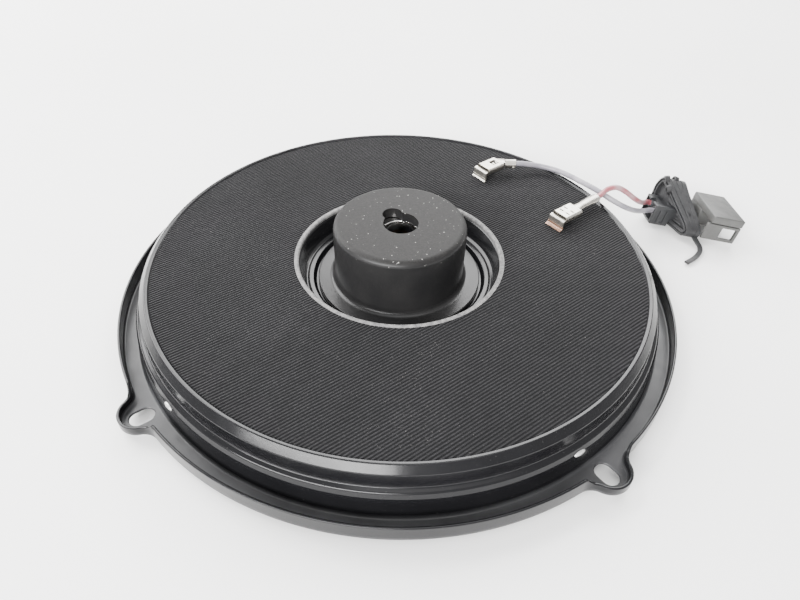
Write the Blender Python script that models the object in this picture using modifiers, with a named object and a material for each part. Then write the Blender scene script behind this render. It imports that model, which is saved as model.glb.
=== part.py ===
"""Shallow 8-inch car subwoofer, lying face down on its front gasket, with its plug-on harness.

World frame: +Z points to the rear of the speaker (motor up), the front gasket rests on Z = 0 and
the cone axis is the Z axis. The four mounting ears sit on the diagonals. The constants are in
millimetres; MM turns them into Blender's metres.
"""
import math

import bmesh
import bpy
from mathutils import Euler, Matrix, Vector

MM = 0.001
GAP = 0.3                       # clearance left between touching pieces

# --- driving dimensions -------------------------------------------------------------------
SHEET = 1.0                     # steel sheet of the basket
FLANGE_R = 108.8                # outer radius of the flange lip
FLANGE_Z = 2.3                  # front face of the flange above the rest plane
LIP_TOP = 9.3                   # top of the turned-up lip
EAR_LIP_TOP = 6.4               # the lip is lower round the ears
EAR_R = 108.6                   # radius of the four mounting slots
EAR_ROUND = 7.5                 # round end of an ear
EAR_FILLET = 6.0                # concave fillet between ear and flange
SLOT_WIDTH = 6.0
SLOT_LENGTH = 8.6
REAR_PLANE = 21.1               # rear face of the basket's spoke plane
RIM_R = 95.2                    # rim around the rear cloth
WELL_R = 40.2                   # mouth of the well that holds the motor
SPOKES = 8
SPOKE_ANGLE = 16.0              # degrees of ring that each spoke covers
WINDOW_IN = 46.5
WINDOW_OUT = 87.0
CUP_R = 25.5
CUP_TOP = 37.7
BRIM_R = 32.3
BRIM_TOP = 13.4
BRIM_THICK = 1.8
COIL_R = 18.2                   # inner radius of the voice-coil former
VENT_R = 6.7
PISTON_R = 84.0
PISTON_Z = 4.4                  # front face of the flat piston at rest
PISTON_THICK = 0.8
SKIRT_R = 44.0                  # inner radius of the tube between piston and spider
TAB_ALONG = 64.6                # terminal position along the 45 degree line
TAB_SIDE = 23.3                 # and to each side of that line
TAB_WIDTH = 6.3                 # blade of a terminal
TAB_FOOT = 7.6                  # its wider upright part
TAB_THICK = 0.8
TAB_TOP = 26.4
FASTON_START, FASTON_END = 1.6, 11.0    # ends of a receptacle's body beyond the tab's upright
WIRE_R = 1.2
PLUG_AT = (135.9, 57.4, 15.6)    # upper near corner of the connector's cover plate
PLUG_LEAN = (-4.6, 11.1, 7.2)    # its roll, pitch and heading in degrees as it lies on its tie
TURN_STEPS = 48                 # facets around a large turned piece

EAR_ANGLES = [45, 135, 225, 315]


# --- scene and materials ------------------------------------------------------------------
def empty_scene():
    for old in list(bpy.data.objects):
        bpy.data.objects.remove(old, do_unlink=True)
    for name in ("car_subwoofer", "cutters"):
        bpy.context.scene.collection.children.link(bpy.data.collections.new(name))


def material(name, colour, roughness, metallic=0.0):
    mat = bpy.data.materials.new(name)
    mat.use_nodes = True
    shader = mat.node_tree.nodes["Principled BSDF"]
    shader.inputs["Base Color"].default_value = (*colour, 1.0)
    shader.inputs["Roughness"].default_value = roughness
    shader.inputs["Metallic"].default_value = metallic
    return mat


def add_object(name, mesh, mat=None, cutter=False):
    obj = bpy.data.objects.new(name, mesh)
    bpy.data.collections["cutters" if cutter else "car_subwoofer"].objects.link(obj)
    if mat:
        mesh.materials.append(mat)
    if cutter:
        obj.hide_render = True
        obj.display_type = 'WIRE'
    return obj


# --- shapes -------------------------------------------------------------------------------
def signed_area(loop):
    return sum(a[0] * b[1] - b[0] * a[1] for a, b in zip(loop, loop[1:] + loop[:1])) / 2


def turned(name, profile, mat=None, steps=TURN_STEPS, sheet=0.0, cutter=False):
    """Turn (radius, z) points about Z; a closed ring section, or an open sheet when sheet > 0."""
    points = list(profile)
    if not sheet and signed_area(points) > 0:
        points.reverse()
    mesh = bpy.data.meshes.new(name)
    edges = [(i, i + 1) for i in range(len(points) - 1)]
    if not sheet and min(r for r, z in points) > 0:
        edges.append((len(points) - 1, 0))
    mesh.from_pydata([(r * MM, 0, z * MM) for r, z in points], edges, [])
    obj = add_object(name, mesh, mat, cutter)
    screw = obj.modifiers.new("turn", 'SCREW')
    screw.steps = screw.render_steps = steps
    screw.use_merge_vertices = True
    screw.merge_threshold = 0.00001
    if sheet:
        solid = obj.modifiers.new("thickness", 'SOLIDIFY')
        solid.thickness = sheet * MM
        solid.offset = -1
        solid.use_even_offset = True
    return obj


def flat_outline(name, loops, z0, z1, mat=None, cutter=False):
    """A flat plate from closed loops of (x, y) points; loops inside the first are holes."""
    curve = bpy.data.curves.new(name, 'CURVE')
    curve.dimensions = '2D'
    curve.fill_mode = 'BOTH'
    curve.extrude = (z1 - z0) / 2 * MM
    for loop in loops:
        spline = curve.splines.new('POLY')
        spline.points.add(len(loop) - 1)
        for point, (x, y) in zip(spline.points, loop):
            point.co = (x * MM, y * MM, 0, 1)
        spline.use_cyclic_u = True
    source = bpy.data.objects.new(name + "_curve", curve)
    bpy.context.scene.collection.objects.link(source)
    source.location.z = (z0 + z1) / 2 * MM
    return mesh_from(source, name, mat, cutter)


def mesh_from(source, name, mat=None, cutter=False):
    """Replace a curve object by a welded mesh object."""
    bpy.context.view_layer.update()
    evaluated = source.evaluated_get(bpy.context.evaluated_depsgraph_get())
    mesh = bpy.data.meshes.new_from_object(evaluated)
    matrix = source.matrix_world.copy()
    bpy.data.objects.remove(source)
    work = bmesh.new()
    work.from_mesh(mesh)
    bmesh.ops.remove_doubles(work, verts=work.verts, dist=0.000002)
    bmesh.ops.recalc_face_normals(work, faces=work.faces)
    work.to_mesh(mesh)
    work.free()
    mesh.materials.clear()
    obj = add_object(name, mesh, mat, cutter)
    obj.matrix_world = matrix
    return obj


def block(name, low, high, mat=None, bevel=0.0, cutter=False):
    """An axis-aligned block between two corners, with its edges bevelled."""
    size = [(b - a) * MM for a, b in zip(low, high)]
    middle = [(a + b) / 2 * MM for a, b in zip(low, high)]
    mesh = bpy.data.meshes.new(name)
    work = bmesh.new()
    bmesh.ops.create_cube(work, size=1.0)
    bmesh.ops.scale(work, vec=size, verts=work.verts)
    work.to_mesh(mesh)
    work.free()
    obj = add_object(name, mesh, mat, cutter)
    obj.location = middle
    if bevel:
        edge = obj.modifiers.new("edges", 'BEVEL')
        edge.width = bevel * MM
        edge.segments = 1
    return obj


def rod(name, radius, z0, z1, at=(0, 0), mat=None, cutter=False, facets=24):
    mesh = bpy.data.meshes.new(name)
    work = bmesh.new()
    bmesh.ops.create_cone(work, cap_ends=True, segments=facets, radius1=radius * MM,
                          radius2=radius * MM, depth=(z1 - z0) * MM)
    work.to_mesh(mesh)
    work.free()
    obj = add_object(name, mesh, mat, cutter)
    obj.location = (at[0] * MM, at[1] * MM, (z0 + z1) / 2 * MM)
    return obj


def tube(name, points, radius, mat, resolution=2):
    """A round wire along a list of points in millimetres."""
    curve = bpy.data.curves.new(name, 'CURVE')
    curve.dimensions = '3D'
    curve.bevel_depth = radius * MM
    curve.bevel_resolution = resolution
    curve.use_fill_caps = True
    spline = curve.splines.new('POLY')
    spline.points.add(len(points) - 1)
    for point, place in zip(spline.points, points):
        point.co = (*(Vector(place) * MM), 1)
    obj = bpy.data.objects.new(name, curve)
    curve.materials.append(mat)
    bpy.data.collections["car_subwoofer"].objects.link(obj)
    return obj


def smooth_route(route, spacing):
    """Points at an even spacing on a smooth curve through the route's own points."""
    guide = [Vector(p) for p in route]
    ends = [2 * guide[0] - guide[1]] + guide + [2 * guide[-1] - guide[-2]]
    fine = []
    for a, b, c, d in zip(ends, ends[1:], ends[2:], ends[3:]):
        for step in range(24):
            t = step / 24
            fine.append(0.5 * (2 * b + (c - a) * t + (2 * a - 5 * b + 4 * c - d) * t ** 2
                               + (3 * b - a - 3 * c + d) * t ** 3))
    fine.append(guide[-1])
    lengths = [0.0]
    for a, b in zip(fine, fine[1:]):
        lengths.append(lengths[-1] + (b - a).length)
    count = max(2, round(lengths[-1] / spacing))
    points = []
    for i in range(count + 1):
        want = lengths[-1] * i / count
        j = next(k for k, reached in enumerate(lengths) if reached >= want - 1e-9)
        if j == 0:
            points.append(fine[0])
            continue
        share = (want - lengths[j - 1]) / max(lengths[j] - lengths[j - 1], 1e-9)
        points.append(fine[j - 1].lerp(fine[j], share))
    return points


def combine(target, other, operation):
    change = target.modifiers.new(operation.lower(), 'BOOLEAN')
    change.operation = operation
    change.object = other
    change.solver = 'EXACT'
    return change


def cut(target, *cutters):
    for other in cutters:
        combine(target, other, 'DIFFERENCE')


def polar(radius, degrees):
    return (radius * math.cos(math.radians(degrees)), radius * math.sin(math.radians(degrees)))


def circle(radius, steps, centre=(0, 0)):
    return [(centre[0] + x, centre[1] + y)
            for x, y in (polar(radius, 360 * i / steps) for i in range(steps))]


def arc(centre, radius, start, end, steps):
    return [(centre[0] + x, centre[1] + y)
            for x, y in (polar(radius, start + (end - start) * i / steps)
                         for i in range(steps + 1))]


def rotate(points, degrees):
    c, s = math.cos(math.radians(degrees)), math.sin(math.radians(degrees))
    return [(x * c - y * s, x * s + y * c) for x, y in points]


# --- basket -------------------------------------------------------------------------------
def flange_outline(inset=0.0, facets=9):
    """The round flange with its four ears, drawn in from the edge by inset."""
    ring, ear, fillet = FLANGE_R - inset, EAR_ROUND - inset, EAR_FILLET + inset
    reach_o = FLANGE_R + EAR_FILLET
    reach_e = EAR_ROUND + EAR_FILLET
    x = (reach_o ** 2 - reach_e ** 2 + EAR_R ** 2) / (2 * EAR_R)
    y = math.sqrt(reach_o ** 2 - x ** 2)
    at_ring = math.degrees(math.atan2(y, x))
    at_ear = math.degrees(math.atan2(y, x - EAR_R))
    half = (arc((x, -y), fillet, 180 - at_ring, 180 - at_ear, 4)
            + arc((EAR_R, 0), ear, -at_ear, at_ear, 8)[1:-1]
            + arc((x, y), fillet, 180 + at_ear, 180 + at_ring, 4))
    outline = []
    for centre in EAR_ANGLES:
        outline += rotate(half, centre)
        outline += arc((0, 0), ring, centre + at_ring, centre + 90 - at_ring, facets)[1:-1]
    return outline


def slot_outline(angle):
    """A mounting slot, long along the ear's radius."""
    reach = (SLOT_LENGTH - SLOT_WIDTH) / 2
    points = (arc((EAR_R + reach, 0), SLOT_WIDTH / 2, -90, 90, 6)
              + arc((EAR_R - reach, 0), SLOT_WIDTH / 2, 90, 270, 6))
    return rotate(points, angle)


def window_outline(angle):
    half = (360 / SPOKES - SPOKE_ANGLE) / 2
    return (arc((0, 0), WINDOW_OUT, angle - half, angle + half, 8)
            + arc((0, 0), WINDOW_IN, angle + half, angle - half, 6))


def tab_place(side):
    """Centre of a terminal tab, side +1 or -1 of the 45 degree line."""
    return rotate([(TAB_ALONG, side * TAB_SIDE)], 45)[0]


def make_basket(steel):
    sheet = [(22.5, 11.3), (33.2, 11.3), (34.2, 12.9), (36.6, 12.9), (37.9, 13.9),
             (39.2, 20.2), (WELL_R, REAR_PLANE), (93.8, REAR_PLANE), (RIM_R, 22.3), (96.2, 22.7),
             (97.6, 21.9), (98.3, 20.2), (98.9, 14.8), (100.4, 13.9), (101.3, 12.7),
             (101.6, 5.0), (102.4, 3.7), (104.0, FLANGE_Z + SHEET)]
    body = turned("basket", sheet, steel, sheet=SHEET)
    plate_holes = [circle(102.6, TURN_STEPS)] + [slot_outline(a) for a in EAR_ANGLES]
    plate = flat_outline("flange_plate", [flange_outline(0.4)] + plate_holes,
                         FLANGE_Z, FLANGE_Z + SHEET, cutter=True)
    lip = flat_outline("flange_lip", [flange_outline(), flange_outline(SHEET)],
                       FLANGE_Z + 0.2, LIP_TOP, cutter=True)
    combine(body, plate, 'UNION')
    combine(body, lip, 'UNION')
    for angle in EAR_ANGLES:
        relief = rod(f"ear_relief_{angle}", 9.5, EAR_LIP_TOP, LIP_TOP + 3,
                     at=rotate([(EAR_R + 3.4, 0)], angle)[0], cutter=True)
        cut(body, relief)
    for i in range(SPOKES):
        window = flat_outline(f"window_{i}", [window_outline(360 / SPOKES * i)],
                              REAR_PLANE - 4, REAR_PLANE + 3, cutter=True)
        cut(body, window)
    for side, label in ((1, "a"), (-1, "b")):
        x, y = tab_place(side)
        slot = block(f"spoke_slot_{label}", (-1.4, -4.6, 17), (1.4, 4.6, 24), cutter=True)
        slot.rotation_euler.z = math.radians(45)
        slot.location.x, slot.location.y = x * MM, y * MM
        hole = rod(f"rivet_hole_{label}", 1.5, 17, 24, at=rivet_place(side), cutter=True)
        cut(body, slot, hole)
    return body


def rivet_place(side):
    return rotate([(TAB_ALONG + 4.6, side * TAB_SIDE)], 45)[0]


# --- fixed pieces -------------------------------------------------------------------------
def make_cloth(felt):
    inner, outer, low, high = WELL_R + 0.2, RIM_R - 2.1, REAR_PLANE + GAP, REAR_PLANE + 1.3
    cloth = turned("rear_cloth", [(inner, high), (outer, high), (outer, low), (inner, low)], felt)
    for side, label in ((1, "a"), (-1, "b")):
        x, y = tab_place(side)
        slit = block(f"cloth_slit_{label}", (-1.1, -4.2, 20), (1.1, 4.2, 24), cutter=True)
        slit.rotation_euler.z = math.radians(45)
        slit.location.x, slit.location.y = x * MM, y * MM
        cut(cloth, slit)
    return cloth


def make_motor(plated, neodymium, iron):
    bottom = BRIM_TOP - BRIM_THICK
    cup = turned("motor_cup", [
        (2.0, CUP_TOP), (CUP_R - 2.6, CUP_TOP), (CUP_R - 0.9, CUP_TOP - 0.8),
        (CUP_R, CUP_TOP - 2.6), (CUP_R, 15.2), (CUP_R + 1.6, BRIM_TOP), (BRIM_R - 0.4, BRIM_TOP),
        (BRIM_R, BRIM_TOP - 0.5), (BRIM_R, bottom), (20.3, bottom), (20.3, 24.0), (21.5, 25.0),
        (21.5, CUP_TOP - 4.0), (2.0, CUP_TOP - 4.0)], plated)
    vent = flat_outline("vent_round", [circle(VENT_R, 24, (0.3, -0.7))], 30, 40, cutter=True)
    lobe = flat_outline("vent_lobe", [circle(3.9, 16, (-3.6, 4.6))], 30, 40, cutter=True)
    cut(cup, vent, lobe)
    turned("magnet", [(VENT_R, 33.4), (17.0, 33.4), (17.0, 25.4), (VENT_R, 25.4)], neodymium, 36)
    turned("pole_plate", [(VENT_R, 25.1), (17.7, 25.1), (17.7, 19.1), (VENT_R, 19.1)], iron, 36)


def make_front_gasket(foam):
    turned("front_gasket", [(98.8, 1.2), (103.8, 1.2), (103.8, 0.0), (98.8, 0.0)], foam)


def make_spider_ring(board):
    low, high = 13.4, REAR_PLANE - SHEET - GAP
    turned("spider_ring", [(77.5, high), (81.5, high), (81.5, low), (77.5, low)], board)


def make_terminals(board, tinned, aluminium):
    for side, label in ((1, "a"), (-1, "b")):
        x, y = tab_place(side)
        top = REAR_PLANE - SHEET - GAP
        plate = block(f"terminal_plate_{label}", (-2.4, -5.2, top - 1.5), (6.4, 5.2, top), board)
        slot = block(f"plate_slot_{label}", (-0.8, -4.1, 15), (0.8, 4.1, 24), cutter=True)
        hole = rod(f"plate_hole_{label}", 1.5, 15, 24, at=rivet_place(side), cutter=True)
        place_turned(plate, (x, y), 45)
        place_turned(slot, (x, y), 45)
        cut(plate, slot, hole)

        under = TAB_TOP - TAB_THICK
        tab = block(f"terminal_tab_{label}", (-TAB_THICK / 2, -TAB_FOOT / 2, 16.2),
                    (TAB_THICK / 2, TAB_FOOT / 2, TAB_TOP), tinned)
        bend = block(f"tab_bend_{label}", (0, -TAB_FOOT / 2, under),
                     (FASTON_START - 0.4, TAB_FOOT / 2, TAB_TOP), cutter=True)
        blade = block(f"tab_blade_{label}", (0.2, -TAB_WIDTH / 2, under),
                      (FASTON_END - 1.6, TAB_WIDTH / 2, TAB_TOP), cutter=True)
        for piece in (tab, bend, blade):
            place_turned(piece, (x, y), 45)
        combine(tab, bend, 'UNION')
        combine(tab, blade, 'UNION')

        turned(f"terminal_rivet_{label}",
               [(0, REAR_PLANE - 0.1), (1.2, REAR_PLANE - 0.1), (1.2, top - 1.8),
                (2.2, top - 1.8), (1.8, top - 2.8), (0, top - 2.8)], aluminium, 12)
        rivet = bpy.data.objects[f"terminal_rivet_{label}"]
        rivet.location = [c * MM for c in (*rivet_place(side), 0)]


def place_turned(obj, at, degrees):
    """Turn a piece that was made around the Z axis and move it to a place."""
    spin = Matrix.Rotation(math.radians(degrees), 4, 'Z')
    obj.matrix_world = Matrix.Translation((at[0] * MM, at[1] * MM, 0)) @ spin @ obj.matrix_basis


# --- moving cone assembly and its suspensions ---------------------------------------------
def make_cone_assembly(pulp, paper, copper, rubber_cap):
    top = PISTON_Z + PISTON_THICK
    turned("cone", [(17.9, top), (30.0, top + 0.5), (36.0, top), (52.0, top), (60.0, top + 1.1),
                    (68.0, top), (PISTON_R, top)], pulp, sheet=PISTON_THICK)
    turned("dust_cap", [(0, 9.4), (6.0, 8.9), (11.5, 7.2), (15.8, 4.6), (17.2, 4.1),
                        (22.5, 4.1)], rubber_cap, 36, sheet=0.45)
    skirt = [(SKIRT_R, 16.3), (SKIRT_R + 0.6, 16.3), (SKIRT_R + 0.6, top + GAP),
             (SKIRT_R, top + GAP)]
    turned("cone_skirt", skirt, paper)
    former = [(COIL_R, 29.2), (COIL_R + 0.3, 29.2), (COIL_R + 0.3, top + 0.5), (COIL_R, top + 0.5)]
    turned("coil_former", former, paper, 36)
    turned("voice_coil", [(COIL_R + 0.6, 28.1), (COIL_R + 1.4, 28.1), (COIL_R + 1.4, 16.1),
                          (COIL_R + 0.6, 16.1)], copper, 36)


def half_roll(r_in, r_out, z_in, z_out, height, steps):
    """Points of a roll that rises from its outer edge and comes down at its inner edge."""
    points = []
    for i in range(steps + 1):
        t = i / steps
        r = r_in + (r_out - r_in) * (1 - math.cos(math.pi * t)) / 2
        z = z_in + (z_out - z_in) * t + height * math.sin(math.pi * t)
        points.append((r, z))
    return points


def make_suspension(rubber, cloth):
    seat = PISTON_Z + PISTON_THICK + GAP
    roll = half_roll(PISTON_R + 1.6, 99.4, seat + 0.6, 2.6, 7.4, 9)
    surround = [(78.6, seat + 0.5), (PISTON_R - 0.4, seat + 0.5)] + roll + [(101.0, 2.0),
                                                                            (103.6, 2.0)]
    turned("surround", surround, rubber, sheet=0.5)
    waves = 3
    inner, outer, level = SKIRT_R + 0.9, 76.6, 12.9
    spider = []
    for i in range(waves * 4 + 1):
        t = i / (waves * 4)
        spider.append((inner + (outer - inner) * t, level + 0.9 * math.sin(2 * math.pi * waves * t)))
    spider.append((81.3, level))
    turned("spider", spider, cloth, sheet=0.4)


def make_tinsel_leads(braid):
    for side, label in ((1, "a"), (-1, "b")):
        x, y = tab_place(side)
        start = Vector((x, y, 17.0))
        inward = Vector((-x, -y, 0)).normalized()
        across = Vector((-inward.y, inward.x, 0)) * side
        run = math.hypot(x, y) - SKIRT_R - 0.6 - 1.0
        route = [start + inward * 1.2, start + inward * 5 + Vector((0, 0, 1.0)),
                 start + inward * 11 + across * 1.0 + Vector((0, 0, 0.4)),
                 start + inward * 16 + Vector((0, 0, -1.0)), start + inward * run
                 + Vector((0, 0, -1.6))]
        tube(f"tinsel_lead_{label}", smooth_route(route, 2.0), 0.5, braid)


# --- harness ------------------------------------------------------------------------------
CRIMPS = {1: (8.0, -38.0), -1: (14.8, 2.5)}    # crimp length and its bend from the 45 degree line


def make_fastons(tinned):
    """Two receptacles, each pushed outward-in over a terminal blade, with its wire crimp."""
    level = TAB_TOP - TAB_THICK / 2
    for side, label in ((1, "a"), (-1, "b")):
        at = tab_place(side)
        length, bend = CRIMPS[side]
        body = block(f"faston_{label}", (FASTON_START, -3.9, level - 1.7),
                     (FASTON_END, 3.9, level + 1.7), tinned, bevel=0.5)
        bore = block(f"faston_bore_{label}", (-1, -TAB_WIDTH / 2 - GAP, level - 0.8),
                     (FASTON_END - 1.0, TAB_WIDTH / 2 + GAP, level + 0.8), cutter=True)
        window = block(f"faston_window_{label}", (6.4, -1.4, level), (9.2, 1.4, level + 4),
                       cutter=True)
        for piece in (body, bore, window):
            place_turned(piece, at, 45)
        neck = block(f"faston_neck_{label}", (-0.8, -1.7, level - 1.5), (length, 1.7, level + 1.3),
                     bevel=0.6, cutter=True)
        place_turned(neck, body_end(side), 45 + bend)
        combine(body, neck, 'UNION')
        cut(body, bore, window)


def body_end(side):
    return rotate([(TAB_ALONG + FASTON_END - 0.1, side * TAB_SIDE)], 45)[0]


def crimp_end(side, beyond=GAP):
    """The point where a wire leaves the crimp of its receptacle."""
    length, bend = CRIMPS[side]
    x, y = polar(length + beyond, 45 + bend)
    return (body_end(side)[0] + x, body_end(side)[1] + y, TAB_TOP - TAB_THICK / 2)


def plug_frame():
    """Placement of the connector: u along it, v across it and w up, from a cover corner."""
    lean = Euler([math.radians(a) for a in PLUG_LEAN], 'XYZ')
    return Matrix.Translation([c * MM for c in PLUG_AT]) @ lean.to_matrix().to_4x4()


def plug_point(u, v, w):
    return tuple(plug_frame() @ (Vector((u, v, w)) * MM) / MM)


WIRE_SEATS = {"wire_grey": (15.6, -10.2), "wire_red": (21.5, -9.2)}   # v and w in the housing


def make_wires(colours):
    ends = {name: [plug_point(u, v, w) for u in (-21.6, -19.2, -17.0)]
            for name, (v, w) in WIRE_SEATS.items()}
    routes = {
        "wire_grey": [crimp_end(1), crimp_end(1, 4.0), (56.5, 72.6, 24.8), (65.7, 69.8, 24.4),
                      (75.6, 61.9, 24.3), (81.4, 56.6, 24.2), (87.3, 52.2, 23.0),
                      (94.0, 52.8, 19.4), (100.6, 58.0, 14.6), (106.2, 64.2, 10.8)],
        "wire_red": [crimp_end(-1), crimp_end(-1, 3.0), (85.0, 53.6, 27.0), (89.2, 55.6, 27.2),
                     (93.6, 56.4, 25.0), (98.0, 58.4, 21.2), (102.4, 62.8, 16.6),
                     (106.2, 69.2, 12.2)],
    }
    for name in routes:
        routes[name] += ends[name]
    for name, route in routes.items():
        tube(name, smooth_route(route, 2.6 * WIRE_R), WIRE_R, colours[name])


def make_connector(black, grey, seal_rubber, pin_metal):
    housing = block("connector_housing", (-21.3, 12.2, -15.6), (-0.3, 24.9, -6.0), black, 0.6)
    pocket = block("wire_pocket", (-23, 13.2, -14.4), (-16.2, 23.9, -6.9), cutter=True)
    low_waist = block("housing_waist_low", (TIE_NEAR[0] - 0.6, 0, -18), (14, 34, -12.8), cutter=True)
    lean = Matrix.Identity(4)
    lean[0][1] = TIE_SLANT[0]
    low_waist.data.transform(lean)
    low_waist.location = lean @ low_waist.location
    cover = block("connector_shroud", (0, 0, -3.6), (15.1, 24.0, 0), grey, 0.5)
    base = block("shroud_base", (0, 12.2, -11.2), (14.4, 24.0, -3.0), cutter=True)
    socket = block("shroud_socket", (2.0, 13.4, -10.2), (17, 22.8, -4.2), cutter=True)
    latch = block("connector_latch", (-1.2, 0.1, -12.0), (15.1, 1.7, -3.9), grey, 0.2)
    latch_window = block("latch_window", (6.4, -2, -10.6), (13.6, 4, -5.1), cutter=True)
    pieces = [housing, pocket, low_waist, cover, base, socket, latch, latch_window]
    for (v, w), label in zip(WIRE_SEATS.values(), "ab"):
        seal = turned(f"wire_seal_{label}", [(WIRE_R + 0.4, 1.2), (2.0, 1.2), (2.0, -1.2),
                                             (WIRE_R + 0.4, -1.2)], seal_rubber, 12)
        seal.matrix_world = (Matrix.Translation((-19.2 * MM, v * MM, w * MM))
                             @ Matrix.Rotation(math.radians(90), 4, 'Y'))
        pieces.append(seal)
    for v, label in ((15.6, "a"), (20.6, "b")):
        pieces.append(block(f"contact_pin_{label}", (2.3, v - 0.6, -8.6), (11.0, v + 0.6, -7.4),
                            pin_metal))
    for piece in pieces:
        piece.matrix_world = plug_frame() @ piece.matrix_basis
    combine(cover, base, 'UNION')
    cut(housing, pocket, low_waist)
    cut(cover, socket)
    cut(latch, latch_window)


TIE_NEAR = (-7.4, -1.9)         # ends of the bundle of turns along the plug, at v = 0
TIE_SLANT = (-0.37, -0.2)       # how far each end leans back along the plug, per mm across
TIE_LOOP = [(0.6, -12.4), (2.4, -14.4), (25.0, -14.4), (28.3, -11.0), (29.0, -2.0), (27.2, 3.0),
            (24.4, 3.4), (12.0, -3.0), (2.6, -7.6), (0.6, -9.4)]    # outer outline of a turn, (v, w)
TIE_THICK = 1.1


def make_tie(strap):
    """The bendable tie wound loosely round the plug, drawn as the outer shape of its turns."""
    centre = Vector((sum(v for v, w in TIE_LOOP), sum(w for v, w in TIE_LOOP))) / len(TIE_LOOP)
    inner = []
    for i, here in enumerate(TIE_LOOP):
        before, after = Vector(TIE_LOOP[i - 1]), Vector(TIE_LOOP[(i + 1) % len(TIE_LOOP)])
        across = (after - before).normalized().orthogonal()
        if across.dot(centre - Vector(here)) < 0:
            across.negate()
        inner.append(tuple(Vector(here) + across * TIE_THICK))
    wrap = flat_outline("tie_wrap", [TIE_LOOP, inner], 0.0, 1.0, strap)
    stand = Matrix.Rotation(math.radians(90), 4, 'Z') @ Matrix.Rotation(math.radians(90), 4, 'X')
    wrap.data.transform(stand @ wrap.matrix_basis)
    for vert in wrap.data.vertices:
        ends = [near * MM + slant * vert.co.y for near, slant in zip(TIE_NEAR, TIE_SLANT)]
        vert.co.x = ends[0] + (ends[1] - ends[0]) * vert.co.x / MM
    wrap.data.transform(plug_frame())
    wrap.matrix_basis = Matrix.Identity(4)
    tail = [(131.2, 54.4, 2.7), (132.3, 52.8, 1.7), (132.2, 50.4, 1.1), (130.6, 47.2, 1.0),
            (128.0, 43.9, 1.0), (124.4, 40.6, 1.0)]
    tube("tie_tail", smooth_route(tail, 2.4), 0.9, strap)


# --- build --------------------------------------------------------------------------------
def main():
    empty_scene()
    steel = material("black_painted_steel", (0.012, 0.012, 0.014), 0.25, 0.0)
    felt = material("black_acoustic_cloth", (0.03, 0.029, 0.033), 0.95)
    plated = material("zinc_plated_steel", (0.62, 0.58, 0.55), 0.38, 1.0)
    nickel = material("nickel_plated_magnet", (0.7, 0.69, 0.67), 0.15, 1.0)
    iron = material("soft_iron", (0.35, 0.35, 0.36), 0.4, 1.0)
    foam = material("gasket_foam", (0.02, 0.02, 0.02), 0.95)
    board = material("phenolic_board", (0.19, 0.09, 0.035), 0.6)
    tinned = material("tinned_brass", (0.72, 0.69, 0.62), 0.3, 1.0)
    aluminium = material("aluminium", (0.75, 0.75, 0.76), 0.35, 1.0)
    pulp = material("black_paper_pulp", (0.02, 0.02, 0.021), 0.85)
    paper = material("kraft_paper", (0.36, 0.22, 0.11), 0.8)
    copper = material("enamelled_copper", (0.6, 0.22, 0.08), 0.3, 1.0)
    rubber = material("black_rubber", (0.015, 0.015, 0.016), 0.6)
    damper = material("treated_cotton", (0.45, 0.31, 0.12), 0.85)
    braid = material("tinsel_braid", (0.7, 0.6, 0.42), 0.45, 1.0)
    black = material("black_plastic", (0.02, 0.021, 0.023), 0.5)
    grey = material("dark_grey_plastic", (0.16, 0.16, 0.155), 0.5)
    seal = material("seal_rubber", (0.03, 0.03, 0.032), 0.6)
    strap = material("tie_plastic", (0.025, 0.025, 0.027), 0.45)
    wires = {"wire_grey": material("grey_violet_wire", (0.42, 0.38, 0.44), 0.45),
             "wire_red": material("dusty_red_wire", (0.5, 0.2, 0.22), 0.45)}

    make_basket(steel)
    make_cloth(felt)
    make_motor(plated, nickel, iron)
    make_front_gasket(foam)
    make_spider_ring(board)
    make_terminals(board, tinned, aluminium)
    make_cone_assembly(pulp, paper, copper, rubber)
    make_suspension(rubber, damper)
    make_tinsel_leads(braid)
    make_fastons(tinned)
    make_wires(wires)
    make_connector(black, grey, seal, tinned)
    make_tie(strap)


main()
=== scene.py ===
"""Looks for the shallow car subwoofer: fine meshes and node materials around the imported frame.

Lengths are in millimetres and MM turns them into metres; +Z is the rear of the speaker, which lies
face down, and its axis is the Z axis.
"""
import math

import bmesh
import bpy
from mathutils import Euler, Matrix, Vector


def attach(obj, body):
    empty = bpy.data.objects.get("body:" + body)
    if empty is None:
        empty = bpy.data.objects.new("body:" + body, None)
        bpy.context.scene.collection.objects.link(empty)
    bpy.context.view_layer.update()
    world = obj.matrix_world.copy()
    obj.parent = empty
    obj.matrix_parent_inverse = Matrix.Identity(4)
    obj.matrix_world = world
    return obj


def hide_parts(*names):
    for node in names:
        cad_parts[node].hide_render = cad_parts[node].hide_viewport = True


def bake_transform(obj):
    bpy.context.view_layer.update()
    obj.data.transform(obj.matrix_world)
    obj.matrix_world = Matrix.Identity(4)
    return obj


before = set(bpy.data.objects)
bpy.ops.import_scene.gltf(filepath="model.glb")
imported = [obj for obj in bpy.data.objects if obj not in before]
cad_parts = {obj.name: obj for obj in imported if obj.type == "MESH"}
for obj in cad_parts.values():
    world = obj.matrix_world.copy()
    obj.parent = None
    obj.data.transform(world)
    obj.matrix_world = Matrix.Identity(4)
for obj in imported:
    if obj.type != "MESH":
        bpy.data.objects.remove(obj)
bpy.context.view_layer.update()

MM = 0.001

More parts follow.
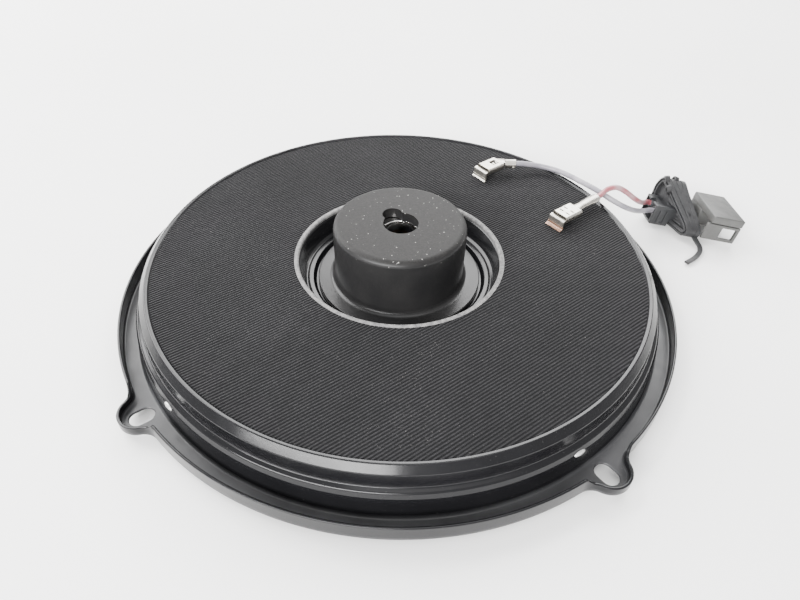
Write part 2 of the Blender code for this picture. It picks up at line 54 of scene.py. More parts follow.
# --- dimensions shared with the CAD, in millimetres ---------------------------------------
SHEET = 1.0
FLANGE_R, FLANGE_Z, LIP_TOP = 108.8, 2.3, 9.3
EAR_R, EAR_ROUND, EAR_FILLET = 108.6, 7.5, 6.0
EAR_LIP_TOP, LIP_FOOT = 6.4, 5.0    # top of the low lip round an ear, and where it starts to drop
EAR_RELIEF, EAR_DIP = 3.4, (8.0, 12.0)  # centre past the slot, and the radii where the lip rises
SLOT_WIDTH, SLOT_LENGTH = 6.0, 8.6
EAR_ANGLES = (45, 135, 225, 315)
REAR_PLANE, RIM_R, WELL_R = 21.1, 95.2, 40.2
FLAT_IN, FLAT_OUT, FLANGE_IN = 41.4, 93.2, 103.8    # edges of the basket's two flat parts
SPOKES, SPOKE_ANGLE, WINDOW_IN, WINDOW_OUT = 8, 16.0, 46.5, 87.0
GASKET_IN, GASKET_OUT, GASKET_TOP = 98.8, 103.8, 1.2
RIB_TURN, RIB_PITCH = 44.0, 1.15    # heading of the cloth's ribs in degrees, and their pitch
CUP_R, CUP_TOP, BRIM_R, BRIM_TOP, BRIM_THICK = 25.5, 37.7, 32.3, 13.4, 1.8
VENT_R = 6.7
PISTON_R, PISTON_Z, PISTON_THICK, SKIRT_R = 84.0, 4.4, 0.8, 44.0
SPIDER_IN, SPIDER_OUT, SPIDER_Z, SPIDER_SECTORS = SKIRT_R + 0.9, 76.6, 12.9, 12
TAB_ALONG, TAB_SIDE, TAB_WIDTH, TAB_THICK, TAB_TOP = 64.6, 23.3, 6.3, 0.8, 26.4
TAB_FOOT, TAB_BEND = 7.6, 2.2
FASTON_START, FASTON_END, BLADE_SHOWN = 1.6, 11.0, 3.0
CRIMPS = {1: (8.0, -38.0), -1: (14.8, 2.5)}     # length and bend in degrees, for either side
WIRE_R = 1.2
PLUG_AT, PLUG_LEAN = (135.9, 57.4, 15.6), (-4.6, 11.1, 7.2)
WIRE_SEATS = {"wire_grey": (15.6, -10.2), "wire_red": (21.5, -9.2)}     # (v, w) in the plug
TIE_NEAR, TIE_SLANT = (-7.4, -1.9), (-0.37, -0.2)   # ends of the wound tie in u, and their lean
TIE_LOOP = [(0.6, -12.4), (2.4, -14.4), (25.0, -14.4), (28.3, -11.0), (29.0, -2.0), (27.2, 3.0),
            (24.4, 3.4), (12.0, -3.0), (2.6, -7.6), (0.6, -9.4)]    # a turn's outline in (v, w)
TIE_WIDTH, TIE_THICK = 2.3, 0.95
FINE = 256                      # steps of a large turned shape
WELD = 0.0005                   # closer vertices are one
SIDES = ((1, "a"), (-1, "b"))   # the two terminals, by side of the 45 degree line
ONE_BAND = 0.31416              # scale of a wave texture with one band a metre


def add_object(name, data):
    obj = bpy.data.objects.new(name, data)
    bpy.context.scene.collection.objects.link(obj)
    return obj


# --- camera and light ---------------------------------------------------------------------
def make_camera():
    cam = add_object("camera", bpy.data.cameras.new("camera"))
    right, up = Vector((0.9911, 0.1313, 0.0200)), Vector((-0.1031, 0.6666, 0.7383))
    forward = Vector((-0.0836, 0.7338, -0.6742))
    basis = Matrix((right, up, -forward)).transposed().to_4x4()
    cam.matrix_world = Matrix.Translation((0.02314, -0.19717, 0.17893)) @ basis
    cam.data.lens = 28.8
    cam.data.sensor_width = 36
    cam.data.clip_start = 0.01
    bpy.context.scene.camera = cam


def make_light(name, at, size, power, size_y=None):
    """An area light that faces the middle of the speaker."""
    data = bpy.data.lights.new(name, 'AREA')
    data.shape = 'RECTANGLE'
    data.size, data.size_y = size, size_y or size
    data.energy = power
    lamp = add_object(name, data)
    lamp.location = at
    lamp.rotation_euler = (-Vector(at)).to_track_quat('-Z', 'Y').to_euler()


def make_studio():
    world = bpy.data.worlds.new("studio")
    world.use_nodes = True
    back = world.node_tree.nodes["Background"]
    back.inputs["Color"].default_value = (1.0, 1.0, 1.0, 1)
    back.inputs["Strength"].default_value = 0.95
    bpy.context.scene.world = world
    make_light("window_left", (-0.9, 0.5, 0.8), 0.9, 42)
    make_light("window_back", (0.2, 1.2, 0.9), 1.4, 44, 0.6)
    make_light("window_front", (-0.56, -1.39, 0.8), 1.6, 90, 0.4)
    make_light("ceiling", (0.1, -0.2, 1.4), 1.0, 10)
    mesh = bpy.data.meshes.new("floor")
    mesh.from_pydata([(-3, -3, 0), (3, -3, 0), (3, 3, 0), (-3, 3, 0)], [], [(0, 1, 2, 3)])
    floor = add_object("floor", mesh)
    floor.location.z = -0.0002
    paint = Paint("pale_table", (0.95, 0.945, 0.935), 0.6)
    paint.colour_noise(6, (0.93, 0.925, 0.915), (0.96, 0.957, 0.95))
    mesh.materials.append(paint.mat)


# --- materials ----------------------------------------------------------------------------
class Paint:
    """A Principled material and short ways to add its procedural nodes."""

    def __init__(self, name, colour, roughness, metallic=0.0, **sockets):
        self.mat = bpy.data.materials.new(name)
        self.mat.use_nodes = True
        self.tree = self.mat.node_tree
        self.shader = self.tree.nodes["Principled BSDF"]
        self.set("Base Color", (*colour, 1.0))
        self.set("Roughness", roughness)
        self.set("Metallic", metallic)
        for socket, value in sockets.items():
            self.set(socket.replace("_", " "), value)
        self.place = self.node("ShaderNodeTexCoord").outputs["Object"]
        self.height = None

    def set(self, socket, value):
        self.shader.inputs[socket].default_value = value

    def node(self, kind, sockets=None, **props):
        made = self.tree.nodes.new(kind)
        for key, value in props.items():
            setattr(made, key, value)
        for socket, value in (sockets or {}).items():
            made.inputs[socket].default_value = value
        return made

    def link(self, a, b):
        self.tree.links.new(a, b)

    def scaled(self, scale, turn=(0, 0, 0)):
        """Object coordinates stretched per axis, for streaks and ribs."""
        mapping = self.node("ShaderNodeMapping", {
            "Scale": scale, "Rotation": [math.radians(a) for a in turn]})
        self.link(self.place, mapping.inputs["Vector"])
        return mapping.outputs["Vector"]

    def up(self):
        """Height above the table in metres, on a piece drawn in place."""
        split = self.node("ShaderNodeSeparateXYZ")
        self.link(self.place, split.inputs[0])
        return split.outputs["Z"]

    def noise(self, scale, detail=3.0, rough=0.55, vector=None):
        made = self.node("ShaderNodeTexNoise", {"Scale": scale, "Detail": detail,
                                                "Roughness": rough})
        self.link(vector or self.place, made.inputs["Vector"])
        return made.outputs["Fac"]

    def soft(self, scale, detail=3.0, to_low=0.0, to_high=1.0):
        """Slow noise over most of its range."""
        return self.span(self.noise(scale, detail), 0.3, 0.7, to_low, to_high)

    def wave(self, scale, direction, vector=None):
        made = self.node("ShaderNodeTexWave", {"Scale": scale}, bands_direction=direction)
        self.link(vector or self.place, made.inputs["Vector"])
        return made.outputs["Fac"]

    def span(self, value, low, high, to_low=0.0, to_high=1.0):
        """Map a 0-1 value between low and high onto another range, clamped."""
        made = self.node("ShaderNodeMapRange", {"From Min": low, "From Max": high,
                                                "To Min": to_low, "To Max": to_high})
        self.link(value, made.inputs["Value"])
        return made.outputs["Result"]

    def math(self, operation, a, b):
        made = self.node("ShaderNodeMath", operation=operation)
        for slot, value in zip(made.inputs, (a, b)):
            if isinstance(value, (int, float)):
                slot.default_value = value
            else:
                self.link(value, slot)
        return made.outputs[0]

    def mix(self, share, a, b):
        """Blend two colours, each a triple or an output, by a share."""
        made = self.node("ShaderNodeMix", data_type='RGBA')
        self.link(share, made.inputs["Factor"])
        for index, value in ((6, a), (7, b)):
            if isinstance(value, tuple):
                made.inputs[index].default_value = (*value, 1.0)
            else:
                self.link(value, made.inputs[index])
        return made.outputs[2]

    def colour(self, output):
        self.link(output, self.shader.inputs["Base Color"])

    def rough(self, output):
        self.link(output, self.shader.inputs["Roughness"])

    def colour_noise(self, scale, low, high, detail=3.0):
        share = self.span(self.noise(scale, detail), 0.35, 0.65)
        self.colour(self.mix(share, low, high))

    def bump(self, height, strength, distance):
        made = self.node("ShaderNodeBump", {"Strength": strength, "Distance": distance})
        self.link(height, made.inputs["Height"])
        if self.height is not None:
            self.link(self.height, made.inputs["Normal"])
        self.height = made.outputs["Normal"]
        self.link(self.height, self.shader.inputs["Normal"])


def dusty(paint, base, dust, amount, scale=1400):
    """Fine pale dust: sparse specks inside slow patches, over a base colour."""
    specks = paint.span(paint.noise(scale, 2.0, 0.7), 0.70 - 0.06 * amount, 0.80)
    patches = paint.span(paint.noise(45, 3.0), 0.35, 0.72)
    return paint.mix(paint.math('MULTIPLY', specks, patches), base, dust)


def black_paint():
    """Satin black paint on the basket, paler grey low down on the flange, below about 4 mm."""
    p = Paint("satin_black_paint", (0.006, 0.006, 0.007), 0.22, Specular_IOR_Level=0.25)
    tone = p.mix(p.soft(30, 4.0), (0.004, 0.004, 0.0045), (0.008, 0.008, 0.009))
    # paler grey below about 4 mm from the table: the flange and the foot of the lip lightened
    paler_low_mask = p.math('MULTIPLY', p.span(p.up(), 4.6 * MM, 3.6 * MM), p.soft(70, 4.0, 0.6, 1.0))
    p.colour(dusty(p, p.mix(paler_low_mask, tone, (0.04, 0.04, 0.042)), (0.10, 0.098, 0.095), 0.4))
    p.rough(p.math('ADD', p.soft(90, 5.0, 0.16, 0.24),
                   p.math('MULTIPLY', paler_low_mask, p.soft(200, 2.0, 0.15, 0.25))))
    p.bump(p.noise(500, 2.0), 0.05, 0.0002)
    return p.mat


def rib_cloth():
    """Dark ribbed cloth: paler ridges over near-black grooves painted as shade in the hollows,
    broken up along each rib.
    """
    p = Paint("ribbed_acoustic_cloth", (0.03, 0.029, 0.032), 0.85, Sheen_Weight=0.06,
              Sheen_Roughness=0.35, Specular_IOR_Level=0.2)
    along = p.scaled((1, 1, 1), (0, 0, -RIB_TURN))
    groove = p.wave(ONE_BAND / (RIB_PITCH * MM), 'Y', along)
    knots = p.noise(1.0, 2.0, 0.6, p.scaled((700, 1500, 700), (0, 0, -RIB_TURN)))
    ridge = p.math('MULTIPLY', p.span(groove, 0.85, 0.15), p.span(knots, 0.3, 0.7, 0.35, 1.0))
    tone = p.mix(p.soft(35, 4.0), (0.008, 0.0076, 0.0088), (0.018, 0.0172, 0.0192))
    # painted shade: the grooves between the ribs drawn near black
    p.colour(dusty(p, p.mix(ridge, (0.0015, 0.0015, 0.0018), tone), (0.22, 0.21, 0.2), 0.5, 1900))
    p.bump(ridge, 0.6, 0.0003)
    p.bump(p.noise(3000, 2.0), 0.35, 0.0001)
    return p.mat


def cup_finish():
    """Black-painted motor cup: satin sides, a duller and paler top with pale scuffs at its edge."""
    p = Paint("black_motor_paint", (0.02, 0.02, 0.02), 0.38, Specular_IOR_Level=0.25)
    tone = p.mix(p.soft(60, 5.0), (0.010, 0.010, 0.0105), (0.018, 0.0175, 0.0175))
    worn = p.mix(p.span(p.noise(1500, 3.0, 0.7), 0.40, 0.75), (0.005, 0.0046, 0.0044),
                 (0.015, 0.014, 0.0135))
    top = p.span(p.up(), (CUP_TOP - 1.6) * MM, (CUP_TOP - 0.3) * MM)
    fleck = p.math('MULTIPLY', p.span(p.noise(900, 2.0, 0.6), 0.70, 0.74),
                   p.span(p.up(), (CUP_TOP - 3.2) * MM, (CUP_TOP - 0.6) * MM, 0.0, 0.8))
    p.colour(p.mix(fleck, p.mix(top, tone, worn), (0.5, 0.49, 0.47)))
    p.rough(p.span(top, 0.0, 1.0, 0.30, 0.62))
    p.bump(p.noise(1300, 3.0, 0.7), 0.12, 0.0002)
    return p.mat


def simple(name, low, high, roughness, metallic=0.0, scale=200, bump=0.1, grain=900, **sockets):
    """A two-tone mottled surface with a fine grain in its bump and roughness."""
    p = Paint(name, low, roughness, metallic, **sockets)
    p.colour_noise(scale, low, high, 4.0)
    p.rough(p.soft(scale * 1.7, 3.0, roughness * 0.85, roughness * 1.15))
    p.bump(p.noise(grain, 3.0), bump, 0.0002)
    return p.mat


def brushed(name, low, high, roughness):
    """Metal with fine upright streaks."""
    p = Paint(name, low, roughness, 1.0)
    streak = p.noise(1.0, 3.0, 0.6, p.scaled((60, 60, 2500)))
    p.colour(p.mix(p.span(streak, 0.3, 0.7), low, high))
    p.rough(p.span(streak, 0.3, 0.7, roughness * 0.8, roughness * 1.25))
    p.bump(streak, 0.08, 0.0001)
    return p.mat


def wire_sleeve(name, base, band):
    """Insulation with slow colour drift and a faint scuffed grain along it."""
    p = Paint(name, base, 0.38, Coat_Weight=0.15, Coat_Roughness=0.3)
    drift = p.span(p.noise(120, 2.0), 0.42, 0.62)
    p.colour(dusty(p, p.mix(drift, base, band), (0.5, 0.48, 0.46), 0.3, 1500))
    p.bump(p.noise(900, 3.0), 0.12, 0.0001)
    return p.mat


def woven(name, low, high, pitch, roughness=0.85):
    """Cross-woven threads of a given pitch in millimetres."""
    p = Paint(name, low, roughness, Sheen_Weight=0.2)
    warp = p.wave(0.32 / (pitch * MM), 'X')
    weft = p.wave(0.32 / (pitch * MM), 'Y')
    weave = p.math('MULTIPLY', warp, weft)
    p.colour(p.mix(weave, low, high))
    p.bump(weave, 0.6, 0.0002)
    return p.mat


# --- meshes -------------------------------------------------------------------------------
def to_mesh(name, work):
    """A mesh in metres from a bmesh in millimetres, its faces turned outwards."""
    bmesh.ops.recalc_face_normals(work, faces=work.faces)
    bmesh.ops.scale(work, vec=(MM, MM, MM), verts=work.verts)
    mesh = bpy.data.meshes.new(name)
    work.to_mesh(mesh)
    work.free()
    return mesh


def shade(mesh, sharp=32):
    mesh.shade_smooth()
    mesh.set_sharp_from_angle(angle=math.radians(sharp))


def finish_mesh(name, work, material, sharp=32, weld=True):
    """A shaded object from a bmesh, its close vertices welded."""
    if weld:
        bmesh.ops.remove_doubles(work, verts=work.verts, dist=WELD)
    mesh = to_mesh(name, work)
    shade(mesh, sharp)
    mesh.materials.append(material)
    return add_object(name, mesh)


def evaluated_mesh(obj):
    bpy.context.view_layer.update()
    return bpy.data.meshes.new_from_object(
        obj.evaluated_get(bpy.context.evaluated_depsgraph_get()))


def weighted(obj):
    """Keep flat faces flat next to small rounded edges."""
    mod = obj.modifiers.new("normals", 'WEIGHTED_NORMAL')
    mod.keep_sharp = True
    mod.weight = 100
    return obj


def show(obj, body, slot, *nodes):
    """What a piece rides on (nothing if body is None) and the CAD nodes it stands for, which it
    hides; slot is not used.
    """
    if body:
        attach(obj, body)
    if nodes:
        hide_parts(*nodes)
    return obj


def polar(radius, degrees):
    return (radius * math.cos(math.radians(degrees)), radius * math.sin(math.radians(degrees)))


def circle(radius, steps, centre=(0, 0)):
    return [(centre[0] + x, centre[1] + y)
            for x, y in (polar(radius, 360 * i / steps) for i in range(steps))]


def arc(centre, radius, start, end, steps):
    return [(centre[0] + x, centre[1] + y)
            for x, y in (polar(radius, start + (end - start) * i / steps)
                         for i in range(steps + 1))]


def rotate(points, degrees):
    c, s = math.cos(math.radians(degrees)), math.sin(math.radians(degrees))
    return [(x * c - y * s, x * s + y * c) for x, y in points]


def rounded(points, steps=5):
    """A path in which a point with a third number is a corner rounded to that radius."""
    path = []
    for i, point in enumerate(points):
        if len(point) < 3 or i in (0, len(points) - 1):
            path.append(tuple(point[:2]))
            continue
        before, here, after = (Vector(p[:2]) for p in points[i - 1:i + 2])
        u, v = (before - here), (after - here)
        room = 0.49 * min(u.length, v.length)
        u.normalize(), v.normalize()
        half = u.angle(v) / 2
        back = min(point[2] / math.tan(half), room)
        centre = here + (u + v).normalized() * (back / math.cos(half))
        a, b = here + u * back - centre, here + v * back - centre
        turn = a.angle_signed(b)
        for k in range(steps + 1):
            path.append(tuple(centre + Matrix.Rotation(-turn * k / steps, 2) @ a))
    return path


def offset(path, distance):
    """The same path moved sideways, to its right."""
    moved = []
    for i, point in enumerate(path):
        before = Vector(path[max(i - 1, 0)])
        after = Vector(path[min(i + 1, len(path) - 1)])
        here = Vector(point)
        into, out = (here - before), (after - here)
        into = into.normalized() if into.length > 1e-9 else out.normalized()
        out = out.normalized() if out.length > 1e-9 else into
        normal = Vector((into.y + out.y, -into.x - out.x)).normalized()
        scale = 1 / max(normal.dot(Vector((into.y, -into.x))), 0.5)
        moved.append(tuple(here + normal * distance * scale))
    return moved


def bridge(work, rings, wrap=False):
    """Faces between rings of equally many vertices, and back to the first ring if they wrap."""
    for a, b in zip(rings, rings[1:] + rings[:1] if wrap else rings[1:]):
        for i in range(len(a)):
            j = (i + 1) % len(a)
            face = list(dict.fromkeys((a[i], a[j], b[j], b[i])))
            if len(face) > 2:
                work.faces.new(face)


def close_sheet(work, *rings):
    """Faces across the thin ends of a bent sheet: its ring runs out on one side and back."""
    for ring in rings:
        for i in range(len(ring) // 2 - 1):
            work.faces.new((ring[i], ring[i + 1], ring[-2 - i], ring[-1 - i]))


def spin(work, path, steps=FINE, closed=False, centre=(0, 0)):
    """Turn a path of (r, z) about an upright axis into rings of faces."""
    rings = []
    for r, z in path:
        if abs(r) < 1e-6:
            rings.append([work.verts.new((centre[0], centre[1], z))] * steps)
        else:
            rings.append([work.verts.new((x, y, z)) for x, y in circle(r, steps, centre)])
    bridge(work, rings, closed)


def turned(name, path, material, steps=FINE, sheet=0.0, centre=(0, 0)):
    """A turned solid: a closed section, or a sheet of a given thickness under its path."""
    section = path + offset(path, sheet)[::-1] if sheet else path
    work = bmesh.new()
    spin(work, section, steps, closed=section[0][0] > 0 or section[-1][0] > 0, centre=centre)
    return finish_mesh(name, work, material)


def put_turned(name, path, material, body, slot, node, **shape):
    return show(turned(name, path, material, **shape), body, slot, node)


def ring_section(inner, outer, low, high, start, ease_in=0.3, ease_out=0.3):
    """The section of a ring with eased corners, drawn from a point on its inner side."""
    return rounded([(inner, start), (inner, high, ease_in), (outer, high, ease_out),
                    (outer, low, ease_out), (inner, low, ease_in), (inner, start)])


def stack(work, loops):
    """Join loops of equally many (x, y) points; each has a height, or a function that gives it."""
    rings = [[work.verts.new((x, y, z(x, y) if callable(z) else z)) for x, y in loop]
             for loop, z in loops]
    bridge(work, rings)


def fill(work, loops, z):
    """Flat faces between an outer loop and the holes in it."""
    curve = bpy.data.curves.new("fill", 'CURVE')
    curve.dimensions = '2D'
    curve.fill_mode = 'BOTH'
    for loop in loops:
        spline = curve.splines.new('POLY')
        spline.points.add(len(loop) - 1)
        for point, (x, y) in zip(spline.points, loop):
            point.co = (x, y, 0, 1)
        spline.use_cyclic_u = True
    source = add_object("fill", curve)
    mesh = evaluated_mesh(source)
    verts = [work.verts.new((v.co.x, v.co.y, z)) for v in mesh.vertices]
    for polygon in mesh.polygons:
        work.faces.new([verts[i] for i in polygon.vertices])
    bpy.data.objects.remove(source)
    bpy.data.meshes.remove(mesh)


def plate(work, loops, z0, z1):
    """A closed flat plate with holes."""
    fill(work, loops, z0)
    fill(work, loops, z1)
    for loop in loops:
        stack(work, [(loop, z0), (loop, z1)])


def brick(work, low, high, bevel=0.0, segments=2):
    """A block between two corners with rounded edges, added to a bmesh."""
    made = bmesh.ops.create_cube(work, size=1.0)["verts"]
    size = [b - a for a, b in zip(low, high)]
    middle = [(a + b) / 2 for a, b in zip(low, high)]
    bmesh.ops.scale(work, vec=size, verts=made)
    bmesh.ops.translate(work, vec=middle, verts=made)
    if bevel:
        edges = list({e for v in made for e in v.link_edges})
        bmesh.ops.bevel(work, geom=edges, offset=bevel, segments=segments, affect='EDGES',
                        profile=0.5)


def cut_with(obj, *shapes):
    """Cut bmesh shapes (in millimetres, in the object's own frame) out of an object."""
    for shape in shapes:
        cutter = add_object("cutter", to_mesh("cutter", shape))
        cutter.matrix_world = obj.matrix_world
        mod = obj.modifiers.new("cut", 'BOOLEAN')
        mod.operation = 'DIFFERENCE'
        mod.solver = 'EXACT'
        mod.object = cutter
        result = evaluated_mesh(obj)
        obj.modifiers.clear()
        obj.data = result
        bpy.data.objects.remove(cutter)
    shade(obj.data)
    return obj


def place_turned(obj, at, degrees):
    obj.matrix_world = (Matrix.Translation((at[0] * MM, at[1] * MM, 0))
                        @ Matrix.Rotation(math.radians(degrees), 4, 'Z'))
    return obj


def smooth_route(route, spacing):
    """Points at an even spacing on a smooth curve through the route's own points."""
    guide = [Vector(p) for p in route]
    ends = [2 * guide[0] - guide[1]] + guide + [2 * guide[-1] - guide[-2]]
    fine = []
    for a, b, c, d in zip(ends, ends[1:], ends[2:], ends[3:]):
        for step in range(24):
            t = step / 24
            fine.append(0.5 * (2 * b + (c - a) * t + (2 * a - 5 * b + 4 * c - d) * t ** 2
                               + (3 * b - a - 3 * c + d) * t ** 3))
    fine.append(guide[-1])
    lengths = [0.0]
    for a, b in zip(fine, fine[1:]):
        lengths.append(lengths[-1] + (b - a).length)
    count = max(2, round(lengths[-1] / spacing))
    points = []
    for i in range(count + 1):
        want = lengths[-1] * i / count
        j = next(k for k, reached in enumerate(lengths) if reached >= want - 1e-9)
        if j == 0:
            points.append(fine[0])
            continue
        share = (want - lengths[j - 1]) / max(lengths[j] - lengths[j - 1], 1e-9)
        points.append(fine[j - 1].lerp(fine[j], share))
    return points


def tube(name, points, radius, material):
    curve = bpy.data.curves.new(name, 'CURVE')
    curve.dimensions = '3D'
    curve.bevel_depth = radius * MM
    curve.bevel_resolution = 6
    curve.use_fill_caps = True
    spline = curve.splines.new('POLY')
    spline.points.add(len(points) - 1)
    for point, place in zip(spline.points, points):
        point.co = (*(Vector(place) * MM), 1)
    curve.materials.append(material)
    return add_object(name, curve)


def sweep(work, points, normals, outline):
    """A solid along points: outline(i) is its section there, across and along the normal."""
    rings = []
    for i, (point, normal) in enumerate(zip(points, normals)):
        ahead = (points[min(i + 1, len(points) - 1)] - points[max(i - 1, 0)]).normalized()
        across = ahead.cross(normal).normalized()
        out = across.cross(ahead).normalized()
        rings.append([work.verts.new(point + across * x + out * y) for x, y in outline(i)])
    bridge(work, rings)
    work.faces.new(rings[0])
    work.faces.new(rings[-1])


def ribbon(work, points, normals, width, thick):
    """A flat strap with rounded sides along points, lying across the given normals."""
    section = [(x * width, y * thick) for x, y in (
        (-0.5, -0.25), (-0.42, -0.5), (0.42, -0.5), (0.5, -0.25), (0.5, 0.25), (0.42, 0.5),
        (-0.42, 0.5), (-0.5, 0.25))]
    sweep(work, points, normals, lambda i: section)


# --- basket -------------------------------------------------------------------------------
def flange_outline(inset=0.0, facets=48):
    """The round flange with its four ears, drawn in from the edge by inset."""
    ring, ear, hollow = FLANGE_R - inset, EAR_ROUND - inset, EAR_FILLET + inset
    reach_o, reach_e = FLANGE_R + EAR_FILLET, EAR_ROUND + EAR_FILLET
    x = (reach_o ** 2 - reach_e ** 2 + EAR_R ** 2) / (2 * EAR_R)
    y = math.sqrt(reach_o ** 2 - x ** 2)
    at_ring = math.degrees(math.atan2(y, x))
    at_ear = math.degrees(math.atan2(y, x - EAR_R))
    half = (arc((x, -y), hollow, 180 - at_ring, 180 - at_ear, 8)
            + arc((EAR_R, 0), ear, -at_ear, at_ear, 24)[1:-1]
            + arc((x, y), hollow, 180 + at_ear, 180 + at_ring, 8))
    outline = []
    for centre in EAR_ANGLES:
        outline += rotate(half, centre)
        outline += arc((0, 0), ring, centre + at_ring, centre + 90 - at_ring, facets)[1:-1]
    return outline


def lip_height(z):
    """A height on the lip as a function of place: lower near the ears."""
    def at(x, y):
        near = min(math.hypot(x - ex, y - ey)
                   for ex, ey in (polar(EAR_R + EAR_RELIEF, angle) for angle in EAR_ANGLES))
        share = min(max((near - EAR_DIP[0]) / (EAR_DIP[1] - EAR_DIP[0]), 0.0), 1.0)
        top = EAR_LIP_TOP + (LIP_TOP - EAR_LIP_TOP) * share * share * (3 - 2 * share)
        return LIP_FOOT + (z - LIP_FOOT) * (top - LIP_FOOT) / (LIP_TOP - LIP_FOOT)
    return at if z > LIP_FOOT else z


def slot_outline(angle, grow=0.0):
    reach, half = (SLOT_LENGTH - SLOT_WIDTH) / 2, SLOT_WIDTH / 2 + grow
    points = (arc((EAR_R + reach, 0), half, -90, 90, 14)
              + arc((EAR_R - reach, 0), half, 90, 270, 14))
    return rotate(points, angle)


def window_outline(angle):
    half = (360 / SPOKES - SPOKE_ANGLE) / 2
    return (arc((0, 0), WINDOW_OUT, angle - half, angle + half, 16)
            + arc((0, 0), WINDOW_IN, angle + half, angle - half, 10))


def make_basket(material):
    work = bmesh.new()
    top, low = REAR_PLANE, REAR_PLANE - SHEET
    hub = rounded([(22.5, 11.3), (33.3, 11.3, 0.6), (34.2, 13.4, 0.6), (35.9, 13.6, 0.5),
                   (36.6, 12.9, 0.5), (37.9, 13.9, 0.8), (39.2, 20.2, 0.8), (WELL_R, top, 0.8),
                   (FLAT_IN, top)])
    wall = rounded([(FLAT_OUT, top), (93.9, top, 0.5), (RIM_R, 22.5, 0.4), (96.3, 22.75, 0.6),
                    (98.5, 20.3, 0.7), (98.9, 14.8, 0.8), (100.5, 14.0, 1.3),
                    (101.35, 12.2, 1.3), (101.6, 5.2, 0.8), (102.2, FLANGE_Z + SHEET, 1.4),
                    (FLANGE_IN, FLANGE_Z + SHEET)])
    for path in (hub, wall):
        spin(work, path)
        spin(work, offset(path, SHEET))
    spin(work, [hub[0], offset(hub, SHEET)[0]])
    holes = [window_outline(360 / SPOKES * i) for i in range(SPOKES)]
    for z in (top, low):
        fill(work, [circle(FLAT_OUT, FINE), circle(FLAT_IN, FINE)] + holes, z)
    for hole in holes:
        stack(work, [(hole, top), (hole, low)])
    z0, z1 = FLANGE_Z, FLANGE_Z + SHEET
    lip = rounded([(2.3, z0), (0.0, z0, 1.1), (0.0, LIP_TOP, 0.45), (SHEET, LIP_TOP, 0.45),
                   (SHEET, z1, 1.3), (2.3, z1)], 4)
    stack(work, [(flange_outline(d), lip_height(z)) for d, z in lip])
    slots = [slot_outline(a) for a in EAR_ANGLES]
    eased = [slot_outline(a, 0.25) for a in EAR_ANGLES]
    for z in (z1, z0):
        fill(work, [flange_outline(2.3), circle(FLANGE_IN, FINE)] + eased, z)
    for slot_loop, eased_loop in zip(slots, eased):
        stack(work, [(eased_loop, z1), (slot_loop, z1 - 0.25), (slot_loop, z0 + 0.25),
                     (eased_loop, z0)])
    return weighted(finish_mesh("basket_shell", work, material, 40))


def make_nubs(material):
    """A small pressed nub on the wall, under its bead, beside each ear; its pale metal colour is a
    painted glint.
    """
    for k, angle in enumerate(EAR_ANGLES):
        work = bmesh.new()
        bmesh.ops.create_uvsphere(work, u_segments=24, v_segments=14, radius=1.0)
        bmesh.ops.scale(work, vec=(0.7, 2.3, 1.0), verts=work.verts)
        obj = finish_mesh(f"wall_nub_{k + 1}", work, material, 60)
        turned_to = angle + (5.0 if k % 2 == 0 else -4.0)
        x, y = polar(101.3, turned_to)
        obj.matrix_world = (Matrix.Translation((x * MM, y * MM, 12.0 * MM))
                            @ Matrix.Rotation(math.radians(turned_to), 4, 'Z'))
        show(obj, "frame", "painted_steel")


# --- cloth --------------------------------------------------------------------------------
def make_cloth(material, edge_material):
    """A ring of ribbed cloth: lines laid along the ribs, each clipped to the ring."""
    outer, inner, z = RIM_R - 0.25, WELL_R - 0.1, REAR_PLANE + 0.9
    work = bmesh.new()
    step, along = RIB_PITCH / 4, 26
    count = int(outer / step)
    turn = Matrix.Rotation(math.radians(RIB_TURN), 3, 'Z')
    for side in (-1, 1):
        previous = None
        for k in range(-count, count + 1):
            s = k * step
            far = math.sqrt(max(outer ** 2 - s ** 2, 0.0))
            near = math.sqrt(max(inner ** 2 - s ** 2, 0.0))
            height = 0.13 * math.cos(2 * math.pi * s / RIB_PITCH)
            row = []
            for i in range(along + 1):
                u = near + (far - near) * i / along
                r = math.hypot(u, s)
                sag = -0.25 * math.sin(math.pi * min(max((r - inner) / (outer - inner), 0), 1))
                wander = 0.10 * math.sin(0.35 * u + 0.5 * s) + 0.05 * math.sin(0.9 * s - 0.21 * u)
                row.append(work.verts.new(turn @ Vector((side * u, s, z + sag + height
                                                         + wander * 0.6))))
            if previous:
                for i in range(along):
                    work.faces.new((previous[i], previous[i + 1], row[i + 1], row[i]))
            previous = row
    obj = finish_mesh("cloth_ring", work, material, 180)
    show(obj, "frame", "acoustic_cloth", "rear_cloth")
    work = bmesh.new()
    # the turned-down cut edge: its pale grey is partly dust and partly painted light of the lit
    # well wall
    lip = rounded([(WELL_R + 0.9, z - 0.1), (WELL_R - 0.2, z + 0.12, 0.3),
                   (WELL_R - 0.55, z - 0.2, 0.3), (WELL_R - 0.5, z - 1.0)], 4)
    spin(work, lip + offset(lip, 0.3)[::-1], closed=True)
    show(finish_mesh("cloth_cut_edge", work, edge_material, 60), "frame", "acoustic_cloth")


# --- motor --------------------------------------------------------------------------------
def prism(loop, z0, z1):
    work = bmesh.new()
    plate(work, [loop], z0, z1)
    bmesh.ops.remove_doubles(work, verts=work.verts, dist=WELD)
    return work


